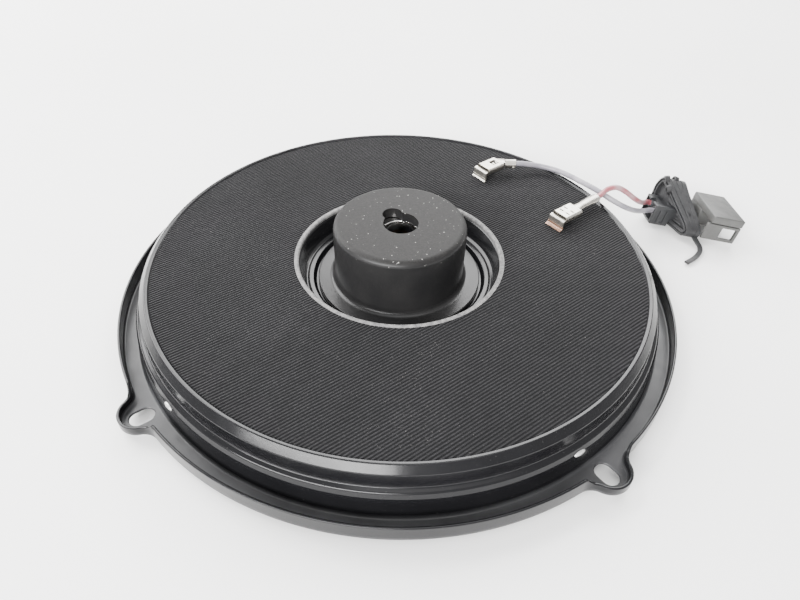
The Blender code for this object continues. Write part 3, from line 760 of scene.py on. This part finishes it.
def make_motor(cup_material, nickel, iron):
    low = BRIM_TOP - BRIM_THICK
    section = rounded([(2.0, CUP_TOP), (CUP_R, CUP_TOP, 2.6), (CUP_R, BRIM_TOP, 2.2),
                       (BRIM_R, BRIM_TOP, 0.5), (BRIM_R, low, 0.3), (20.3, low, 0.4),
                       (20.3, 24.0, 0.5), (21.5, 25.0, 0.5), (21.5, CUP_TOP - 4.0, 0.6),
                       (2.0, CUP_TOP - 4.0)], 8)
    work = bmesh.new()
    spin(work, section, closed=True)
    cup = finish_mesh("motor_cup_shell", work, cup_material)
    cut_with(cup, prism(circle(VENT_R, 64, (0.3, -0.7)), 30, 40),
             prism(circle(3.9, 40, (-3.6, 4.6)), 30, 40))
    show(weighted(cup), "frame", "plated_steel", "motor_cup")
    put_turned("magnet_ring", ring_section(VENT_R, 17.0, 25.4, 33.4, 30, 0.4, 0.5), nickel,
               "frame", "magnet_nickel", "magnet", steps=128)
    put_turned("pole_plate_ring", ring_section(VENT_R, 17.7, 19.1, 25.1, 22, 0.3, 0.4), iron,
               "frame", "soft_iron", "pole_plate", steps=128)


# --- front side ---------------------------------------------------------------------------
def make_front(foam, board, pulp, rubber, kraft, copper):
    put_turned("gasket_ring", ring_section(GASKET_IN, GASKET_OUT, 0.0, GASKET_TOP, 0.6), foam,
               "frame", "gasket_foam", "front_gasket")
    put_turned("spider_ring_fine", ring_section(77.5, 81.5, 13.4, REAR_PLANE - SHEET - 0.3, 16),
               board, "frame", "board", "spider_ring")
    top = PISTON_Z + PISTON_THICK
    cone = rounded([(17.9, top), (30.0, top + 0.5, 4), (36.0, top, 4), (52.0, top, 4),
                    (60.0, top + 1.1, 4), (68.0, top, 4), (PISTON_R, top)])
    put_turned("cone_fine", cone, pulp, "cone_assembly", "paper_pulp", "cone", sheet=PISTON_THICK)
    cap = rounded([(0, 9.4), (6.0, 8.9, 9), (11.5, 7.2, 9), (15.8, 4.6, 2), (17.2, 4.1, 1),
                   (22.5, 4.1)])
    put_turned("dust_cap_fine", cap, rubber, "cone_assembly", "rubber", "dust_cap", sheet=0.45)
    skirt = [(SKIRT_R, 16.3), (SKIRT_R + 0.6, 16.3), (SKIRT_R + 0.6, top + 0.3),
             (SKIRT_R, top + 0.3)]
    put_turned("skirt_fine", skirt, kraft, "cone_assembly", "kraft_paper", "cone_skirt")
    former = [(18.2, 29.2), (18.5, 29.2), (18.5, top + 0.5), (18.2, top + 0.5)]
    put_turned("former_fine", former, kraft, "cone_assembly", "kraft_paper", "coil_former",
               steps=128)
    turns = [(18.8, 28.1)]
    for k in range(30):
        z = 28.1 - 0.4 * k
        turns += [(19.45, z - 0.04), (19.6, z - 0.2), (19.45, z - 0.36)]
    turns.append((18.8, 16.1))
    put_turned("voice_coil_fine", turns, copper, "cone_assembly", "copper", "voice_coil", steps=128)

    seat = PISTON_Z + PISTON_THICK + 0.3
    roll = []
    for i in range(33):
        t = i / 32
        roll.append((85.6 + 13.8 * (1 - math.cos(math.pi * t)) / 2,
                     seat + 0.6 + (2.0 - seat) * t + 7.4 * math.sin(math.pi * t)))
    path = [(78.6, seat + 0.5), (PISTON_R - 0.4, seat + 0.5)] + roll + [(101.0, 2.0), (103.6, 2.0)]
    surround = put_turned("surround_fine", path, rubber, None, "rubber", "surround", sheet=0.5)
    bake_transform(surround)


def make_spider(damper):
    """The corrugated spider in sectors, each drawn at rest."""
    profile = [(SPIDER_IN + (SPIDER_OUT - SPIDER_IN) * i / 72,
                SPIDER_Z + 0.9 * math.sin(math.pi * i / 12)) for i in range(73)]
    profile.append((81.3, SPIDER_Z))
    section = profile + offset(profile, 0.4)[::-1]
    wedge, steps = 360 / SPIDER_SECTORS, 20
    for sector in range(SPIDER_SECTORS):
        work = bmesh.new()
        rings = []
        for i in range(steps + 1):
            c, s = polar(1.0, wedge * (sector + i / steps))
            rings.append([work.verts.new((r * c, r * s, z)) for r, z in section])
        bridge(work, rings)
        close_sheet(work, rings[0], rings[-1])
        piece = finish_mesh(f"spider_sector_{sector + 1}", work, damper, 50)
        show(piece, None, "treated_cotton", "spider")
        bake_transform(piece)


# --- terminals and receptacles ------------------------------------------------------------
def tab_place(side):
    return rotate([(TAB_ALONG, side * TAB_SIDE)], 45)[0]


def body_end(side):
    return rotate([(TAB_ALONG + FASTON_END - 0.1, side * TAB_SIDE)], 45)[0]


def crimp_end(side, beyond=0.3):
    length, bend = CRIMPS[side]
    x, y = polar(length + beyond, 45 + bend)
    return (body_end(side)[0] + x, body_end(side)[1] + y, TAB_TOP - TAB_THICK / 2)


def strip(work, path, half, thick):
    """A bent strip: its path runs in the x-z plane, its width along y."""
    section = path + offset(path, thick)[::-1]
    left = [work.verts.new((x, -half, z)) for x, z in section]
    right = [work.verts.new((x, half, z)) for x, z in section]
    bridge(work, [left, right])
    close_sheet(work, left, right)


def make_terminals(tinned, board, aluminium, copper):
    for side, label in SIDES:
        at = tab_place(side)
        work = bmesh.new()
        bent = [(-0.4, 16.2), (-0.4, TAB_TOP, TAB_BEND), (FASTON_START - 0.35, TAB_TOP)]
        strip(work, rounded(bent, 10), TAB_FOOT / 2, TAB_THICK)
        strip(work, [(FASTON_START - 0.4, TAB_TOP), (BLADE_SHOWN, TAB_TOP)], TAB_WIDTH / 2,
              TAB_THICK)
        tab = finish_mesh(f"tab_{label}", work, tinned, 35)
        place_turned(tab, at, 45)
        show(tab, "frame", "tinned_brass", f"terminal_tab_{label}")
        make_foot(label, at, side, copper if side < 0 else tinned)
        top = REAR_PLANE - SHEET - 0.3
        work = bmesh.new()
        brick(work, (-2.4, -5.2, top - 1.5), (6.4, 5.2, top), 0.2)
        shim = place_turned(finish_mesh(f"terminal_board_{label}", work, board), at, 45)
        slot_cut = bmesh.new()
        brick(slot_cut, (-0.8, -4.1, 15), (0.8, 4.1, 24))
        show(cut_with(shim, slot_cut), "frame", "board", f"terminal_plate_{label}")
        hole = rotate([(TAB_ALONG + 4.6, side * TAB_SIDE)], 45)[0]
        rivet = rounded([(0, REAR_PLANE - 0.1), (1.2, REAR_PLANE - 0.1, 0.2), (1.2, top - 1.8, 0.1),
                         (2.2, top - 1.8, 0.2), (1.8, top - 2.8, 0.5), (0, top - 2.8)])
        put_turned(f"rivet_{label}", rivet, aluminium, "frame", "aluminium",
                   f"terminal_rivet_{label}", steps=32, centre=hole)


def make_foot(label, at, side, material):
    """The bare edge where a tab comes out of the cloth: a small flange bent towards the motor."""
    low = REAR_PLANE + 1.15
    reach = 1.5 if side < 0 else 0.7
    work = bmesh.new()
    strip(work, rounded([(-0.5 - reach, low), (-0.5, low + 0.25, 0.8), (-0.5, low + 1.2)], 6),
          TAB_FOOT / 2 + 0.25, 0.3)
    foot = finish_mesh(f"tab_foot_{label}", work, material, 35)
    place_turned(foot, at, 45)
    show(foot, "frame", "tinned_brass")


def make_fastons(tinned, copper):
    """Receptacles folded from strip: a floor with two rolled sides, a neck and a wire crimp."""
    level = TAB_TOP - TAB_THICK / 2
    for side, label in SIDES:
        length, bend = CRIMPS[side]
        make_receptacle(f"receptacle_{label}", side, level, tinned)
        work = bmesh.new()
        (neck_profile if side < 0 else short_neck)(work, length, level)
        neck = finish_mesh(f"receptacle_neck_{label}", work, tinned, 40)
        place_turned(neck, body_end(side), 45 + bend)
        show(neck, "harness", "tinned_brass")

        work = bmesh.new()
        for k in range(7):
            angle = 2 * math.pi * k / 6
            r = 0.0 if k == 6 else 0.34
            rod = bmesh.ops.create_cone(work, cap_ends=True, segments=10, radius1=0.17,
                                        radius2=0.17, depth=1.6)["verts"]
            bmesh.ops.rotate(work, cent=(0, 0, 0), matrix=Matrix.Rotation(math.pi / 2, 3, 'Y'),
                             verts=rod)
            bmesh.ops.translate(work, verts=rod, vec=(length - 2.6, r * math.cos(angle),
                                                      level + 0.1 + r * math.sin(angle)))
        strands = finish_mesh(f"strands_{label}", work, copper, 40, weld=False)
        place_turned(strands, body_end(side), 45 + bend)
        show(strands, "harness", "copper")


def make_receptacle(name, side, level, tinned):
    """The body: a flat top with a window or slots, and sides that curl under towards the middle."""
    x0, x1, half = FASTON_START, FASTON_END, 3.9
    if side > 0:
        holes = [[(6.0, -1.7), (9.6, -1.7), (9.6, 1.7), (6.0, 1.7)]]
    else:
        holes = [[(x - 0.32, y - 0.95), (x + 0.32, y - 0.95), (x + 0.32, y + 0.95),
                  (x - 0.32, y + 0.95)] for x in (4.2, 6.8) for y in (-1.7, 1.7)]
    work = bmesh.new()
    top, thick, edge = level + 1.55, 0.42, 0.95
    plate(work, [rounded_loop(x0, edge - half, x1, half - edge, 0.25)] + holes, top - thick, top)
    for s in (1, -1):
        curl = arc((s * (half - edge), level + 0.6), edge, 90, 90 - s * 100, 8)
        curl += [(s * (half - 0.02), level - 0.7), (s * (half - 0.35), level - 1.35),
                 (s * (half - 1.1), level - 1.62), (s * (half - 2.4), level - 1.5),
                 (s * (half - 3.2), level - 1.1)]
        if s < 0:
            curl.reverse()
        extrude_section(work, curl, x0, x1, thick)
    body = finish_mesh(name, work, tinned, 40)
    place_turned(body, tab_place(side), 45)
    show(body, "harness", "tinned_brass", f"faston_{'a' if side > 0 else 'b'}")


def short_neck(work, length, level):
    """A short flat neck that ends in a square insulation crimp, with one ear folded low."""
    brick(work, (-1.6, -1.9, level + 0.9), (3.0, 1.9, level + 1.4), 0.15)
    brick(work, (2.2, -1.75, level + 0.5), (3.4, 1.75, level + 1.1), 0.15)
    shell = [(1.75 * math.cos(math.radians(a)), level - 0.1 + 1.6 * math.sin(math.radians(a)))
             for a in range(-60, 241, 15)]
    extrude_section(work, shell, 3.2, length, 0.35)
    brick(work, (length - 1.5, -2.3, level - 1.5), (length - 0.2, -1.3, level - 0.5), 0.3)


def rounded_loop(x0, y0, x1, y1, radius, steps=4):
    loop = []
    for cx, cy, start in ((x1, y1, 0), (x0, y1, 90), (x0, y0, 180), (x1, y0, 270)):
        centre = (cx - radius if start in (0, 270) else cx + radius,
                  cy - radius if start in (0, 90) else cy + radius)
        loop += arc(centre, radius, start, start + 90, steps)
    return loop


def extrude_section(work, path, x0, x1, thick):
    """A bent sheet whose path lies in the y-z plane, run from x0 to x1."""
    section = path + offset(path, thick)[::-1]
    ends = [[work.verts.new((x, y, z)) for y, z in section] for x in (x0, x1)]
    bridge(work, ends)
    close_sheet(work, *ends)


def neck_profile(work, length, level):
    """A wide tapering neck that rolls into the crimp round the wire, as sheet of changing size."""
    stations = [(-0.6, 2.9, 1.35, 1.42, 0.25), (0.8, 2.5, 1.3, 1.42, 0.3),
                (2.6, 1.95, 1.2, 1.5, 0.5), (5.0, 1.9, 1.1, 1.45, 0.62),
                (8.2, 2.0, 1.15, 1.45, 0.7),
                (10.2, 2.1, 1.25, 1.5, 0.78), (10.6, 2.25, 1.45, 1.5, 0.8),
                (length, 2.2, 1.5, 1.45, 0.86)]
    rings = []
    for x, half, height, lift, close in stations:
        outer = []
        for k in range(17):
            t = -1 + 2 * k / 16
            span = math.radians(60 + 110 * close)
            y = half * math.sin(t * span)
            z = level + lift - height + height * math.cos(t * span)
            outer.append((y, z))
        inner = offset(outer, 0.35)
        rings.append([work.verts.new((x, y, z)) for y, z in outer + inner[::-1]])
    bridge(work, rings)
    close_sheet(work, rings[0], rings[-1])


# --- harness ------------------------------------------------------------------------------
def plug_frame():
    lean = Euler([math.radians(a) for a in PLUG_LEAN], 'XYZ')
    return Matrix.Translation([c * MM for c in PLUG_AT]) @ lean.to_matrix().to_4x4()


def plug_point(u, v, w):
    return tuple(plug_frame() @ (Vector((u, v, w)) * MM) / MM)


def wire_routes():
    routes = {
        "wire_grey": [crimp_end(1), crimp_end(1, 4.0), (56.5, 72.6, 24.8), (65.7, 69.8, 24.4),
                      (75.6, 61.9, 24.3), (81.4, 56.6, 24.2), (87.3, 52.2, 23.0),
                      (94.0, 52.8, 19.4), (100.6, 58.0, 14.6), (106.2, 64.2, 10.8)],
        "wire_red": [crimp_end(-1), crimp_end(-1, 3.0), (85.0, 53.6, 27.0), (89.2, 55.6, 27.2),
                     (93.6, 56.4, 25.0), (98.0, 58.4, 21.2), (102.4, 62.8, 16.6),
                     (106.2, 69.2, 12.2)],
    }
    for name, (v, w) in WIRE_SEATS.items():
        routes[name] += [plug_point(u, v, w) for u in (-21.6, -19.2, -17.0)]
    return routes


def make_wires(sleeves):
    for name, route in wire_routes().items():
        points = smooth_route(route, 1.2)
        wire = tube(f"{name}_fine", points, WIRE_R, sleeves[name])
        show(wire, "harness", name, name)


def in_plug(obj):
    obj.matrix_world = plug_frame()
    return obj


def plug_block(name, low, high, bevel, material, segments=3):
    work = bmesh.new()
    brick(work, low, high, bevel, segments)
    return in_plug(finish_mesh(name, work, material))


def cutter_brick(low, high, bevel=0.0, slant=None):
    shape = bmesh.new()
    brick(shape, low, high, bevel)
    if slant:
        bmesh.ops.transform(shape, matrix=slant, verts=shape.verts)
    return shape


def make_connector(black, grey, seal_rubber, tinned):
    housing = plug_block("connector_housing_fine", (-21.3, 12.2, -15.6), (-0.3, 24.9, -6.0), 0.5,
                         black)
    cuts = [cutter_brick((-23, 13.2, -14.4), (-16.2, 23.9, -6.9), 0.3),
            cutter_brick((TIE_NEAR[0] - 0.6, 0, -18), (14, 34, -12.8), 0, waist_lean()),
            cutter_brick((-20.0, 11, -16.4), (-18.2, 12.7, -8.0), 0.2),
            cutter_brick((-16.6, 11, -14.4), (-15.2, 12.8, -7.0), 0.2),
            cutter_brick((-22.5, 16.8, -7.6), (-19.0, 20.6, -5.0), 0.2),
            cutter_brick((-17.4, 14.4, -7.0), (-13.4, 22.6, -5.6), 0.2)]
    show(cut_with(housing, *cuts), "harness", "black_plastic", "connector_housing")

    cover = plug_block("connector_cover", (0, 0, -3.6), (15.1, 24.0, 0), 0.55, grey)
    show(cover, "harness", "grey_plastic", "connector_shroud")
    base = plug_block("connector_base", (0.1, 12.3, -11.1), (14.3, 23.9, -3.4), 0.4, grey)
    show(cut_with(base, cutter_brick((2.0, 13.4, -10.2), (17, 22.8, -4.2))), "harness",
         "grey_plastic")

    latch = plug_block("latch_arm", (-1.2, 0.15, -11.9), (15.0, 1.6, -3.95), 0.25, grey)
    show(cut_with(latch, cutter_brick((6.4, -2, -10.6), (13.6, 4, -5.1), 0.5)), "latch",
         "grey_plastic", "connector_latch")

    for (v, w), label in zip(WIRE_SEATS.values(), "ab"):
        work = bmesh.new()
        spin(work, ring_section(WIRE_R + 0.4, 2.0, -1.2, 1.2, 0, 0.2, 0.4), 32, closed=True)
        seal = finish_mesh(f"seal_{label}", work, seal_rubber)
        seal.matrix_world = (plug_frame() @ Matrix.Translation((-19.2 * MM, v * MM, w * MM))
                             @ Matrix.Rotation(math.radians(90), 4, 'Y'))
        show(seal, "harness", "seal_rubber", f"wire_seal_{label}")
    for v, label in ((15.6, "a"), (20.6, "b")):
        low, high = (2.3, v - 0.6, -8.6), (11.0, v + 0.6, -7.4)
        pin = plug_block(f"pin_{label}", low, high, 0.15, tinned, 2)
        show(pin, "harness", "tinned_brass", f"contact_pin_{label}")


def waist_lean():
    """Tilts the cut in the housing so that the wound tie lies in it."""
    lean = Matrix.Identity(4)
    lean[0][1] = TIE_SLANT[0]
    return lean


def tie_loop(steps, inset):
    """A smooth closed turn of the tie inside the outline, as (v, w) points and their normals."""
    corners = [Vector(p) for p in TIE_LOOP]
    lengths = [(b - a).length for a, b in zip(corners, corners[1:] + corners[:1])]
    total, points = sum(lengths), []
    for k in range(steps):
        want, i = total * k / steps, 0
        while want > lengths[i]:
            want -= lengths[i]
            i += 1
        points.append(corners[i].lerp(corners[(i + 1) % len(corners)], want / lengths[i]))
    for _ in range(3):
        points = [(points[i - 1] + 2 * points[i] + points[(i + 1) % steps]) / 4
                  for i in range(steps)]
    normals = []
    for i in range(steps):
        ahead = (points[(i + 1) % steps] - points[i - 1]).normalized()
        normals.append(Vector((ahead.y, -ahead.x)))
    return [p - n * inset for p, n in zip(points, normals)], normals


def tie_core(work, steps):
    """Turns packed inside the outer ones; their edges are ridges on both end faces."""
    loop, _ = tie_loop(steps, 2.2)
    middle = sum(loop, Vector((0, 0))) / steps
    rims = []
    for near, slant, inward in zip(TIE_NEAR, TIE_SLANT, (1, -1)):
        rings = []
        for n in range(8):
            ring = [middle + (p - middle) * (1 - 0.115 * n) for p in loop]
            step = inward * (0.9 + 0.45 * (n % 2))
            rings.append([work.verts.new((near + slant * v + step, v, w)) for v, w in ring])
        bridge(work, rings)
        work.faces.new(rings[-1])
        rims.append(rings[0])
    bridge(work, rims)


def make_tie(strap):
    """Loose turns of a flat bendable tie fanned round the plug, three knuckles and a tail."""
    work = bmesh.new()
    steps = 72
    layers = [(0.05 + 0.18 * k, 0.7 + 0.35 * (k % 3 == 1), 1.7 * k) for k in range(6)]
    layers += [(0.02 + 0.19 * k, 2.0 + 0.4 * (k % 2), 2.3 * k + 1) for k in range(6)]
    for share, lift, phase in layers:
        loop, normals = tie_loop(steps, lift)
        points, out = [], []
        for k in range(steps + 1):
            (v, w), n = loop[k % steps], normals[k % steps]
            ends = [near + slant * v for near, slant in zip(TIE_NEAR, TIE_SLANT)]
            wave = 0.06 * math.sin(2 * math.pi * k / steps * 2 + phase)
            u = ends[0] + (ends[1] - ends[0]) * min(max(share + wave, 0.08), 0.92)
            points.append(Vector((u, v, w)))
            out.append(Vector((0, n.x, n.y)))
        ribbon(work, points, out, TIE_WIDTH, TIE_THICK)
    tie_core(work, steps)
    angles = [math.radians(d) for d in range(-60, 241, 15)]
    for u, v, w, lean in ((-15.8, 25.0, 2.0, -0.5), (-11.4, 26.0, 2.0, 0.4),
                          (-15.2, 20.4, -0.6, -0.8)):
        loop = [Vector((u + lean * math.sin(a), v + 1.3 * math.cos(a), w + 1.7 * math.sin(a)))
                for a in angles]
        ribbon(work, loop, [(p - Vector((u, v, w))).normalized() for p in loop], TIE_WIDTH,
               TIE_THICK)
    wrap = in_plug(finish_mesh("tie_turns", work, strap, 50, weld=False))
    show(wrap, "harness", "tie_plastic", "tie_wrap")
    tail = [plug_point(-3.5, 2.6, -12.6), (131.2, 54.4, 2.7), (132.3, 52.8, 1.7),
            (132.2, 50.4, 1.1), (130.6, 47.2, 1.0), (128.0, 43.9, 1.0), (124.4, 40.6, 1.0)]
    points = smooth_route(tail, 1.0)
    work = bmesh.new()
    ribbon(work, points, [Vector((0, 0, 1))] * len(points), 2.2, 1.1)
    show(finish_mesh("tie_tail_fine", work, strap, 50), "harness", "tie_plastic", "tie_tail")


def braided(i):
    """The i-th outline of a braid 1 mm thick, its strands crossing as i goes on."""
    outline = []
    for k in range(16):
        a = 2 * math.pi * k / 16
        r = 0.5 * (0.94 + 0.06 * math.cos(4 * a + 0.9 * i) * math.cos(4 * a - 0.9 * i))
        outline.append((r * math.cos(a), r * math.sin(a)))
    return outline


def make_tinsel(braid):
    """Braided leads that bend between the terminals and the skirt of the cone."""
    for side, label in SIDES:
        x, y = tab_place(side)
        start = Vector((x, y, 17.0))
        inward = Vector((-x, -y, 0)).normalized()
        across = Vector((-inward.y, inward.x, 0)) * side
        run = math.hypot(x, y) - SKIRT_R - 0.6 - 1.0
        route = [start + inward * 1.2, start + inward * 5 + Vector((0, 0, 1.0)),
                 start + inward * 11 + across * 1.0 + Vector((0, 0, 0.4)),
                 start + inward * 16 + Vector((0, 0, -1.0)),
                 start + inward * run + Vector((0, 0, -1.6))]
        points = smooth_route(route, 0.35)
        work = bmesh.new()
        sweep(work, points, [Vector((0, 0, 1))] * len(points), braided)
        lead = finish_mesh(f"tinsel_braid_{label}", work, braid, 60)
        show(lead, None, "tinsel", f"tinsel_lead_{label}")
        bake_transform(lead)


# --- build --------------------------------------------------------------------------------
def main():
    make_camera()
    make_studio()
    paint = black_paint()
    cloth = rib_cloth()
    # pale grey for the cloth's cut edge: dusty fibres, and painted light as if the well wall were
    # lit all round
    edge = simple("cloth_edge_dust_and_painted_light", (0.10, 0.098, 0.1), (0.2, 0.195, 0.19), 0.9, scale=700,
                  bump=0.6, grain=2500)
    tinned = simple("tinned_brass_fine", (0.44, 0.42, 0.38), (0.58, 0.555, 0.51), 0.38, 1.0, 150)
    nickel = brushed("nickel_fine", (0.66, 0.65, 0.63), (0.76, 0.75, 0.73), 0.16)
    iron = brushed("iron_fine", (0.25, 0.25, 0.26), (0.38, 0.38, 0.39), 0.38)
    board = simple("board_fine", (0.16, 0.075, 0.03), (0.24, 0.12, 0.05), 0.6, 0, 300, 0.2)
    foam = simple("foam_fine", (0.015, 0.015, 0.016), (0.03, 0.03, 0.031), 0.95, 0, 500, 0.8, 1500)
    pulp = simple("pulp_fine", (0.014, 0.014, 0.015), (0.035, 0.034, 0.034), 0.85, 0, 260, 0.5, 900)
    rubber = simple("rubber_fine", (0.013, 0.013, 0.014), (0.022, 0.022, 0.023), 0.55, 0, 120, 0.1)
    kraft = simple("kraft_fine", (0.3, 0.18, 0.09), (0.42, 0.27, 0.14), 0.8, 0, 250, 0.2)
    copper = brushed("copper_fine", (0.55, 0.2, 0.07), (0.7, 0.3, 0.12), 0.28)
    edge_copper = brushed("bare_edge_fine", (0.28, 0.17, 0.12), (0.42, 0.29, 0.23), 0.45)
    damper = woven("damper_fine", (0.3, 0.2, 0.07), (0.55, 0.4, 0.18), 0.7)
    braid = woven("tinsel_fine", (0.45, 0.3, 0.12), (0.8, 0.68, 0.42), 0.5, 0.5)
    aluminium = brushed("aluminium_fine", (0.68, 0.68, 0.69), (0.8, 0.8, 0.81), 0.35)
    black = simple("black_plastic_fine", (0.008, 0.0085, 0.0095), (0.014, 0.0145, 0.016), 0.5, 0,
                   180, 0.15)
    grey = simple("grey_plastic_fine", (0.048, 0.048, 0.046), (0.064, 0.064, 0.061), 0.5, 0, 160,
                  0.12)
    seal = simple("seal_fine", (0.03, 0.03, 0.032), (0.045, 0.045, 0.048), 0.6)
    strap = simple("tie_fine", (0.008, 0.008, 0.009), (0.016, 0.016, 0.017), 0.55, 0, 400, 0.3)
    # pale grey metal for the wall nubs: a painted glint off each dimple
    nub = simple("nub_painted_glint", (0.55, 0.55, 0.54), (0.7, 0.7, 0.69), 0.3, 0.6, 200)
    sleeves = {"wire_grey": wire_sleeve("sleeve_grey", (0.20, 0.19, 0.215), (0.30, 0.285, 0.31)),
               "wire_red": wire_sleeve("sleeve_red", (0.30, 0.085, 0.10), (0.34, 0.24, 0.25))}

    make_connector(black, grey, seal, tinned)
    make_wires(sleeves)
    show(make_basket(paint), "frame", "painted_steel", "basket")
    make_nubs(nub)
    make_cloth(cloth, edge)
    make_motor(cup_finish(), nickel, iron)
    make_front(foam, board, pulp, rubber, kraft, copper)
    make_spider(damper)
    make_terminals(tinned, board, aluminium, edge_copper)
    make_fastons(tinned, copper)
    make_tie(strap)
    make_tinsel(braid)


main()
